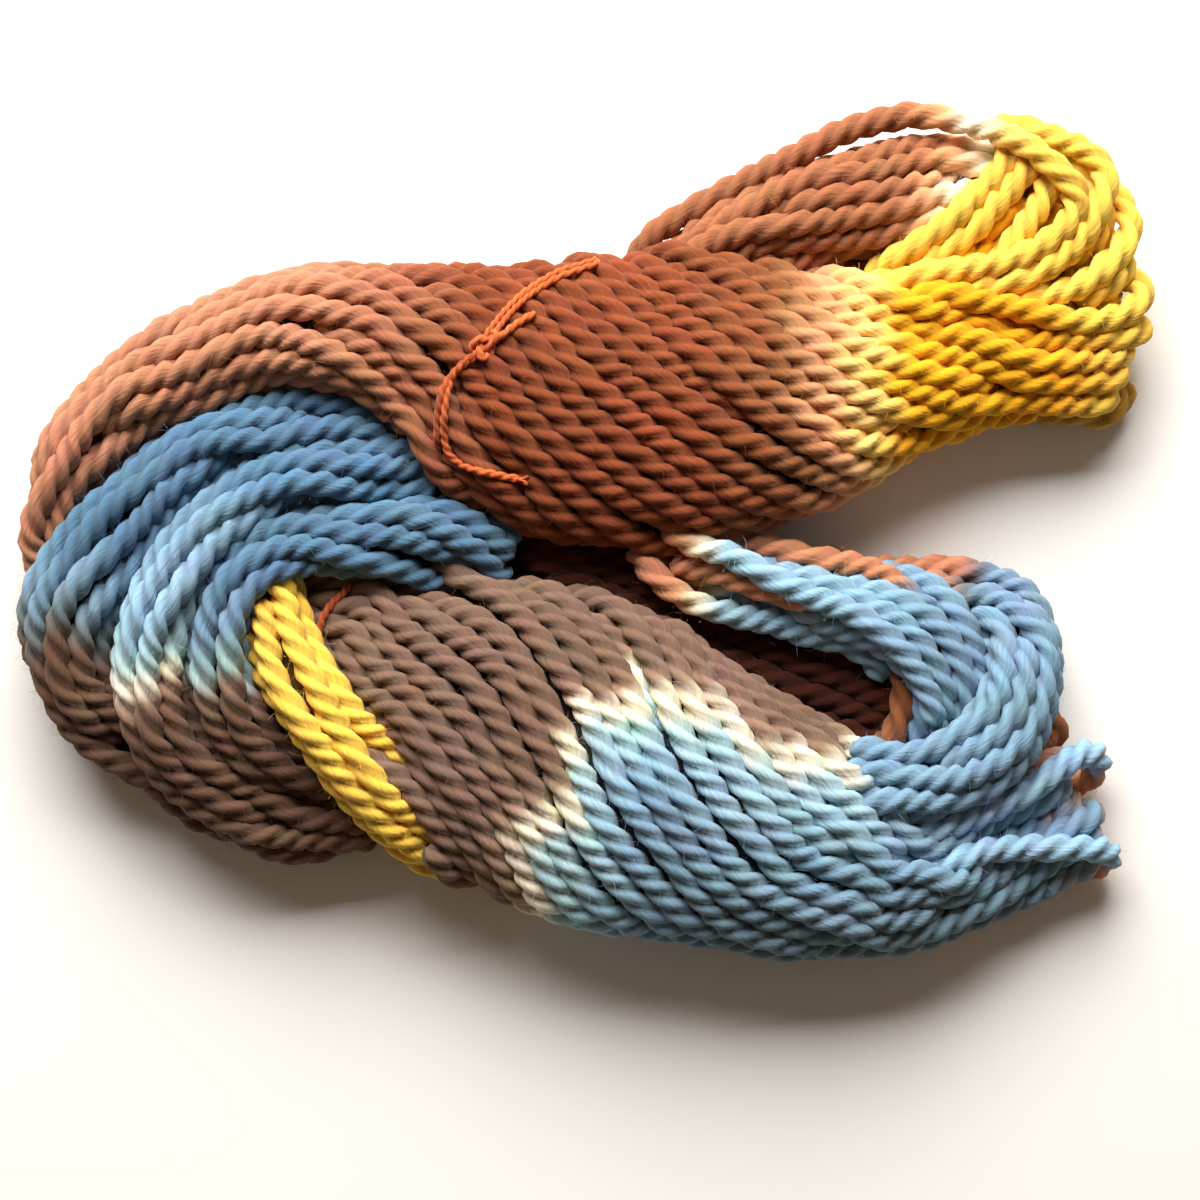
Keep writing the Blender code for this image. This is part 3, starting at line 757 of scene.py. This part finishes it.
class Strands:
    """The mesh of one piece, to which plied strands are added one by one."""

    def __init__(self):
        self.points, self.faces, self.colours, self.uvs = [], [], [], []
        self.count = 0

    def take(self, points, faces, uvs, colours):
        """Adds points, and faces that count them from 0."""
        self.points.append(points)
        self.faces.append(faces + self.count)
        self.uvs.append(uvs)
        self.colours.append(colours)
        self.count += len(points)

    def add(self, line, radius, pitch, plies, colours, rng):
        """Winds a plied strand along a line whose points are one ring apart, rounded off at both ends."""
        side, up = frames_along(line)
        along = lengths_along(line)
        angles, radii = ply_outline(plies)
        phase = rng.random() * 2 * math.pi - 2 * math.pi * (along + wander(rng, along, PLY_DRIFT)) / pitch
        around = phase[:, None] + angles[None, :]
        swell = 1 + wander(rng, along, THICKNESS_DRIFT)
        to_end = np.clip(np.minimum(along, along[-1] - along) / radius, 0.02, 1)
        swell *= np.sqrt(to_end * (2 - to_end))
        ply = np.stack([1 + wander(rng, along, PLY_THICKNESS_DRIFT) for _ in range(plies)], axis=1)
        rough = np.repeat(ply, PLY_SAMPLES, axis=1) * (1 + rng.normal(0, MESH_ROUGHNESS, around.shape))
        reach = radius * swell[:, None] * radii[None, :] * rough
        rings = line[:, None, :] + reach[:, :, None] * (
            np.cos(around)[:, :, None] * side[:, None, :] + np.sin(around)[:, :, None] * up[:, None, :]
        )
        rings[:, :, 2] = np.maximum(rings[:, :, 2], FLOOR_GAP)
        # Painted shade: each ring's colour is darkened from the plies' crests towards the grooves between
        # them.
        crest = (radii - radii.min()) / (radii.max() - radii.min())
        tone = PLY_GROOVE_SHADE + (1 - PLY_GROOVE_SHADE) * crest
        toned = colours[:, None, :] * tone[None, :, None]
        uvs = ply_uvs(around, along / pitch, rng)
        self.take(rings.reshape(-1, 3), tube_faces(*around.shape), uvs, toned.reshape(-1, 3))

    def add_shaded_core(self, course, dye):
        """A filling below the outer turns, so that no light comes through the bundle, coloured as painted
        shade: its dye, made very dark.
        """
        angles = np.linspace(0, 2 * math.pi, CORE_SIDES + 1)[:-1]
        taper = np.ones(len(course.middle))
        taper[[0, -1]] = 0.02
        wide = np.maximum(course.half_width - CORE_DEPTH, 0.5) * taper
        high = np.maximum(course.half_height - CORE_DEPTH, 0.5) * taper
        across = wide[:, None] * np.cos(angles)
        rings = course.middle[:, None, :] + course.right[:, None, :] * across[:, :, None]
        rings[:, :, 2] += high[:, None] * np.sin(angles)
        faces = tube_faces(len(rings), len(angles))
        uvs = np.tile(((0.0, 0.0), (0.1, 0.0), (0.1, 0.1), (0.0, 0.1)), (len(faces), 1))
        # Painted shade: the filling takes its bundle's dye, made very dark.
        colours = np.repeat(dyed(course.middle, dye, 0) * CORE_SHADE, len(angles), axis=0)
        self.take(rings.reshape(-1, 3), faces, uvs, colours)

    def add_fibres(self, line, radius, colours, rng):
        """Loose fibres that stand off a strand, each a narrow bent ribbon."""
        number = rng.poisson(lengths_along(line)[-1] * MM * FIBRES_A_METRE)
        side, up = frames_along(line)
        root = rng.integers(1, len(line) - 1, number)
        turn = rng.random(number) * 2 * math.pi
        out = side[root] * np.cos(turn)[:, None] + up[root] * np.sin(turn)[:, None]
        heading = line[root + 1] - line[root - 1]
        heading /= np.linalg.norm(heading, axis=1)[:, None]
        across = np.cross(heading, out)
        lean = rng.normal(0, 1, (number, 2))
        way = heading * lean[:, :1] + across * lean[:, 1:]
        way /= np.linalg.norm(way, axis=1)[:, None]
        size = rng.uniform(*FIBRE_LENGTHS, number)
        rise = rng.uniform(*FIBRE_RISES, number)
        start = line[root] + out * radius * FIBRE_ROOT
        share = np.linspace(0, 1, FIBRE_POINTS)
        middle = start[:, None, :] + way[:, None, :] * (size[:, None] * share)[:, :, None]
        bend = size[:, None] * rise[:, None] * np.sin(share * FIBRE_BEND)
        middle += out[:, None, :] * bend[:, :, None]
        middle[:, :, 2] = np.maximum(middle[:, :, 2], FLOOR_GAP)
        thin = np.cross(way, out) * FIBRE_WIDTH / 2
        edges = np.stack([middle - thin[:, None, :], middle + thin[:, None, :]], axis=2).reshape(-1, 3)
        index = np.arange(len(edges)).reshape(number, FIBRE_POINTS, 2)
        left, right = index[:, :, 0], index[:, :, 1]
        quads = np.stack([left[:, :-1], right[:, :-1], right[:, 1:], left[:, 1:]], axis=2).reshape(-1, 4)
        toned = np.minimum(colours[root] * FIBRE_TONE, LIGHTEST)
        self.take(edges, quads, np.zeros((quads.size, 2)), np.repeat(toned, FIBRE_POINTS * 2, axis=0))

    def made(self, name, material):
        """The piece as an object that rides on the hank's body."""
        points = np.vstack(self.points) * MM
        faces = np.vstack(self.faces)
        mesh = bpy.data.meshes.new(name)
        mesh.vertices.add(len(points))
        mesh.vertices.foreach_set("co", points.ravel())
        mesh.loops.add(faces.size)
        mesh.loops.foreach_set("vertex_index", faces.ravel())
        mesh.polygons.add(len(faces))
        mesh.polygons.foreach_set("loop_start", np.arange(len(faces)) * 4)
        mesh.polygons.foreach_set("loop_total", np.full(len(faces), 4))
        mesh.update(calc_edges=True)
        colours = np.hstack([np.vstack(self.colours), np.ones((len(points), 1))])
        mesh.attributes.new("dye", "FLOAT_COLOR", "POINT").data.foreach_set("color", colours.ravel())
        mesh.uv_layers.new(name="ply").data.foreach_set("uv", np.vstack(self.uvs).ravel())
        mesh.materials.append(material)
        mesh.shade_smooth()
        piece = bpy.data.objects.new(name, mesh)
        bpy.context.scene.collection.objects.link(piece)
        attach(piece, "root")
        return piece


def set_inputs(node, values):
    """Sets a node's inputs, given by name or number."""
    for key, value in values.items():
        node.inputs[key].default_value = value


def product(nodes, links, first, second):
    """Two colours multiplied."""
    multiply = nodes.new("ShaderNodeVectorMath")
    multiply.operation = "MULTIPLY"
    links.new(first, multiply.inputs[0])
    links.new(second, multiply.inputs[1])
    return multiply.outputs["Vector"]


def fibre_streaks(nodes, links, scale):
    """Noise drawn out along the plies."""
    where = nodes.new("ShaderNodeUVMap")
    where.uv_map = "ply"
    stretch = nodes.new("ShaderNodeMapping")
    set_inputs(stretch, {"Scale": scale})
    streaks = nodes.new("ShaderNodeTexNoise")
    set_inputs(streaks, {"Scale": 1.0, "Detail": 3.0, "Roughness": 0.6})
    links.new(where.outputs["UV"], stretch.inputs["Vector"])
    links.new(stretch.outputs["Vector"], streaks.inputs["Vector"])
    return streaks.outputs["Fac"]


def streak_tone(nodes, links, streaks):
    """The streaks as a factor for the colour, from a little darker to a little lighter."""
    tone = nodes.new("ShaderNodeMapRange")
    set_inputs(tone, {"From Min": 0.3, "From Max": 0.7, "To Min": 0.8, "To Max": 1.15})
    links.new(streaks, tone.inputs["Value"])
    return tone.outputs["Result"]


def patch_tint(nodes, links):
    """Soft patches where the dye has taken differently, as a factor for each channel of the colour."""
    place = nodes.new("ShaderNodeTexCoord")
    patches = nodes.new("ShaderNodeTexNoise")
    set_inputs(patches, {"Scale": 75.0, "Detail": 2.0})
    tint = nodes.new("ShaderNodeVectorMath")
    tint.operation = "MULTIPLY_ADD"
    set_inputs(tint, {1: (0.36, 0.36, 0.36), 2: (0.83, 0.83, 0.83)})
    links.new(place.outputs["Object"], patches.inputs["Vector"])
    links.new(patches.outputs["Color"], tint.inputs[0])
    return tint.outputs["Vector"]


def wool_material(name, streak_scale, sheen):
    """Matt fibres in the colours of the dye, finely streaked along the plies."""
    material = bpy.data.materials.new(name)
    material.use_nodes = True
    nodes, links = material.node_tree.nodes, material.node_tree.links
    shader = nodes["Principled BSDF"]
    set_inputs(shader, {
        "Roughness": 0.95,
        "Specular IOR Level": 0.15,
        "Sheen Weight": sheen,
        "Sheen Roughness": 0.5,
        "Sheen Tint": (1.0, 0.84, 0.7, 1),
    })
    dye = nodes.new("ShaderNodeAttribute")
    dye.attribute_name = "dye"
    streaks = fibre_streaks(nodes, links, streak_scale)
    toned = product(nodes, links, dye.outputs["Color"], streak_tone(nodes, links, streaks))
    tinted = product(nodes, links, toned, patch_tint(nodes, links))
    links.new(tinted, shader.inputs["Base Color"])
    bump = nodes.new("ShaderNodeBump")
    set_inputs(bump, {"Strength": 0.7, "Distance": 0.0006})
    links.new(streaks, bump.inputs["Height"])
    links.new(bump.outputs["Normal"], shader.inputs["Normal"])
    return material


def lay_yarn():
    """Lays every turn of the hank.

    Returns the bundles' courses, the visible runs as pressed apart and as first laid, and, for each run,
    the name of its piece and its dye.
    """
    rng = np.random.default_rng(7)
    courses = {name: Course(bundle.sections) for name, bundle in BUNDLES.items()}
    runs, owners = [], []
    over = []
    for name, bundle in BUNDLES.items():
        for line, shown in bundle_turns(bundle, courses[name], rng):
            for run in visible_runs(line, shown, over):
                runs.append(run)
                owners.append((name, bundle.dye))
        over.append(courses[name])
    for dye, places in LONE_TURNS:
        runs.append(respaced(through(places, NODE_STEP / 2), NODE_STEP))
        owners.append(("lone_turns", dye))
    return courses, relaxed(runs), runs, owners


def spin_yarn(courses, settled, laid, owners, material):
    """Makes the yarn pieces, one for each bundle, and the piece of all their loose fibres.

    A turn is dyed where it was first laid, so that pressing it aside doesn't shift its colours.
    """
    rng = np.random.default_rng(11)
    pieces = {}
    fibres = Strands()
    for line, first, (name, dye) in zip(settled, laid, owners):
        fine = respaced(through(line, RING_STEP), RING_STEP)
        before = resampled(respaced(through(first, RING_STEP), RING_STEP), len(fine))
        offset = rng.normal(0, DYE_SCATTER) + wander(rng, lengths_along(fine), DYE_DRIFT)
        colours = dyed(before, dye, offset) * (1 + rng.normal(0, TONE_SCATTER))
        strands = pieces.setdefault(name, Strands())
        strands.add(fine, YARN_RADIUS, PLY_PITCH, YARN_PLIES, colours, rng)
        fibres.add_fibres(fine, YARN_RADIUS, colours, rng)
    for name, bundle in BUNDLES.items():
        pieces[name].add_shaded_core(courses[name], bundle.dye)
    pieces["fibres"] = fibres
    made = []
    for name, strands in pieces.items():
        piece = strands.made(f"yarn_{name}", material)
        made.append(piece)
    return made


# The ties as seen from above. They lie on the yarn, and where they leave it for its side their heights
# are given too.
DOUBLED_LEG = ((1.2, 81), (-9.3, 77), (-18.3, 71.1), (-24.3, 65.1), (-28.5, 59.5), (-31, 55.5))
OVER_TOP_EDGE = ((5, 79, 6), (4.5, 83, 13), (3, 83.5, 22))
PASSING_LEG = ((-32, 53.5), (-37.5, 49.5), (-42.3, 44), (-44.2, 37), (-45, 30), (-45, 26.5))
OVER_LOW_EDGE = ((-45.5, 22, 30), (-46.5, 19, 20))
STUB = ((-31, 55), (-27, 57.2), (-21.5, 61.5), (-16, 65))
TAIL = (
    (-33, 52), (-36.3, 50), (-40.6, 45.6), (-42.3, 38), (-42.9, 29), (-40.8, 23), (-34.8, 19.5),
    (-27.3, 17.7), (-20.7, 16.5),
)
LOWER_LEG = ((-71.5, -14), (-73.5, -17), (-77, -20.5), (-79.5, -25), (-80.5, -30))
KNOT_PLACE, KNOT_HEADING = (-30.8, 55.2), (-0.62, -0.78)
KNOT_WIDTH, KNOT_LENGTH, KNOT_HEIGHT = 3.0, 4.8, 1.3
KNOT_LIFT = 1.6  # of its middle above the yarn


def windows(values, reach):
    """The values moved along by every number of places up to the reach, either way."""
    padded = np.pad(values, reach, mode="edge")
    return [padded[k:k + len(values)] for k in range(2 * reach + 1)]


def yarn_tops(line, arm):
    """The height of the yarn below each point of a line, bridging the grooves between turns."""
    tops = []
    for x, y in line:
        hit, place, _, _ = arm.ray_cast((x * MM, y * MM, 0.1), (0, 0, -1))
        tops.append(place.z / MM if hit else math.nan)
    tops = np.array(tops)
    known = ~np.isnan(tops)
    tops = np.interp(np.arange(len(tops)), np.flatnonzero(known), tops[known])
    bridged = np.max(windows(tops, BRIDGE), axis=0)
    return np.mean(windows((bridged * 2 + tops) / 3, EASE), axis=0)


def draped(way, arm, aside=0.0):
    """A thread's centreline over the yarn along a way seen from above, moved aside from it."""
    line = respaced(through(way, THREAD_STEP / 2), THREAD_STEP)
    heading = np.gradient(line, axis=0)
    heading /= np.linalg.norm(heading, axis=1)[:, None]
    line = line + np.stack([-heading[:, 1], heading[:, 0]], axis=1) * aside
    return np.column_stack([line, yarn_tops(line, arm) + THREAD_LIFT])


def joined(*parts):
    """Stretches of a centreline, one after the other, as one smooth line."""
    return respaced(through(np.vstack(parts), THREAD_STEP / 2), THREAD_STEP)


def add_thread(strands, line, colour, rng, radius=THREAD_RADIUS):
    """Winds a two-ply thread along a line."""
    shade = 1 + wander(rng, lengths_along(line), THREAD_TONE_DRIFT)
    strands.add(line, radius, THREAD_PITCH, THREAD_PLIES, colour[None, :] * shade[:, None], rng)


def add_frayed_end(strands, line, colour, rng):
    """The two plies of a thread, parted beyond its end."""
    heading = line[-1] - line[-3]
    heading /= np.linalg.norm(heading)
    side = np.array((-heading[1], heading[0], 0.15))
    share = np.linspace(0, 1, 6)[:, None]
    for parting in FRAY_PARTINGS:
        ply = line[-2] + heading * FRAY_LENGTH * share + side * parting * share**2
        add_thread(strands, ply, colour, rng, FRAY_RADIUS)


def add_knot(strands, arm, rng):
    """An overhand knot, drawn tight."""
    t = np.linspace(0, 2 * math.pi, 60)
    along = (np.cos(t) - 2 * np.cos(2 * t)) / 3 * KNOT_LENGTH
    aside = (np.sin(t) + 2 * np.sin(2 * t)) / 3 * KNOT_WIDTH
    heading = np.array(KNOT_HEADING)
    side = np.array((-heading[1], heading[0]))
    middle = np.array(KNOT_PLACE) + along[:, None] * heading + aside[:, None] * side
    level = yarn_tops(np.array([KNOT_PLACE]), arm)[0] + KNOT_LIFT
    add_thread(strands, np.column_stack([middle, level - np.sin(3 * t) * KNOT_HEIGHT]), ORANGE, rng)


def make_upper_tie(arm, material, rng):
    """The thread round the upper arm: its doubled stretch, single stretch, cut end and knot."""
    ties = Strands()
    for aside in (-DOUBLED_ASIDE, DOUBLED_ASIDE):
        over_yarn = draped(DOUBLED_LEG, arm, aside)[::THINNING]
        add_thread(ties, joined(OVER_TOP_EDGE, over_yarn), ORANGE, rng, DOUBLED_RADIUS)
    over_yarn = draped(PASSING_LEG, arm)[::THINNING]
    # Painted shade: the stretch that runs down into the groove by the lower edge is coloured a darkened
    # orange.
    add_thread(ties, joined(over_yarn, OVER_LOW_EDGE), SHADED_ORANGE, rng)
    add_thread(ties, draped(STUB, arm), ORANGE, rng)
    add_knot(ties, arm, rng)
    upper_tie = ties.made("tie_thread_upper", material)
    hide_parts("tie_upper")
    return upper_tie


def make_tail(arm, material, rng):
    """The upper tie's long free end, a loose cord."""
    tail = Strands()
    line = draped(TAIL, arm)
    add_thread(tail, line, ORANGE, rng)
    add_frayed_end(tail, line, ORANGE, rng)
    loose_tail = tail.made("tie_thread_tail", material)
    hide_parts("tie_upper_tail")
    length = float(lengths_along(line)[-1]) * MM
    centreline = [tuple(float(v) for v in point * MM) for point in line]
    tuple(centreline[0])
    return loose_tail


def make_lower_tie(arm, material, rng):
    """The stretch of the lower arm's thread that shows."""
    low = Strands()
    # Painted shade: the lower tie's thread, in shade, is coloured a darkened orange.
    add_thread(low, draped(LOWER_LEG, arm), SHADED_ORANGE, rng)
    lower_tie = low.made("tie_thread_lower", material)
    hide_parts("tie_lower")
    return lower_tie


def make_ties(yarn, material):
    """The thread ties, laid on the finished yarn."""
    bpy.context.view_layer.update()
    by_name = {piece.name: piece for piece in yarn}
    upper_arm, lower_arm = by_name["yarn_upper_arm"], by_name["yarn_lower_arm"]
    rng = np.random.default_rng(5)
    upper_tie = make_upper_tie(upper_arm, material, rng)
    loose_tail = make_tail(upper_arm, material, rng)
    lower_tie = make_lower_tie(lower_arm, material, rng)


def lay_floor():
    """A plain pale floor."""
    bpy.ops.mesh.primitive_plane_add(size=6, location=(0, 0, 0))
    floor = bpy.context.object
    floor.name = "floor"
    material = bpy.data.materials.new("floor")
    material.use_nodes = True
    shader = material.node_tree.nodes["Principled BSDF"]
    set_inputs(shader, {
        "Base Color": (0.86, 0.845, 0.82, 1),
        "Roughness": 0.7,
        "Specular IOR Level": 0.1,
    })
    floor.data.materials.append(material)


def room_light():
    """Weak warm light from all round, as a room's walls give it back."""
    world = bpy.data.worlds.new("world")
    world.use_nodes = True
    background = world.node_tree.nodes["Background"]
    set_inputs(background, {"Color": (1.0, 0.76, 0.54, 1), "Strength": 0.15})
    bpy.context.scene.world = world


def window_light():
    """Soft light from a window beyond the top of the hank."""
    light = bpy.data.lights.new("window", "AREA")
    light.shape = "RECTANGLE"
    light.size, light.size_y = 1.2, 0.8
    light.energy = 47
    light.color = (1.0, 0.98, 0.95)
    window = bpy.data.objects.new("window", light)
    window.location = (-0.12, 1.0, 0.78)
    bpy.context.scene.collection.objects.link(window)
    direction = Vector((0.0, 0.0, 0.0)) - window.location
    window.rotation_euler = direction.to_track_quat("-Z", "Y").to_euler()


def camera():
    """A camera straight above the hank, as far off as a phone is held."""
    height = 0.80
    level, width = 0.02, 0.360  # at this height, the frame is this wide
    data = bpy.data.cameras.new("camera")
    data.sensor_width = 36
    data.lens = 36 * (height - level) / width
    made = bpy.data.objects.new("camera", data)
    made.location = (0.0027, -0.0189, height)
    bpy.context.scene.collection.objects.link(made)
    bpy.context.scene.camera = made


camera()
lay_floor()
room_light()
window_light()
bpy.context.scene.view_settings.view_transform = "Standard"
wool = wool_material("wool", streak_scale=(26.0, 2.2, 1.0), sheen=0.12)
thread = wool_material("thread", streak_scale=(14.0, 2.0, 1.0), sheen=0.25)
courses, settled, laid, owners = lay_yarn()
yarn = spin_yarn(courses, settled, laid, owners, wool)
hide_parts("hank")
make_ties(yarn, thread)
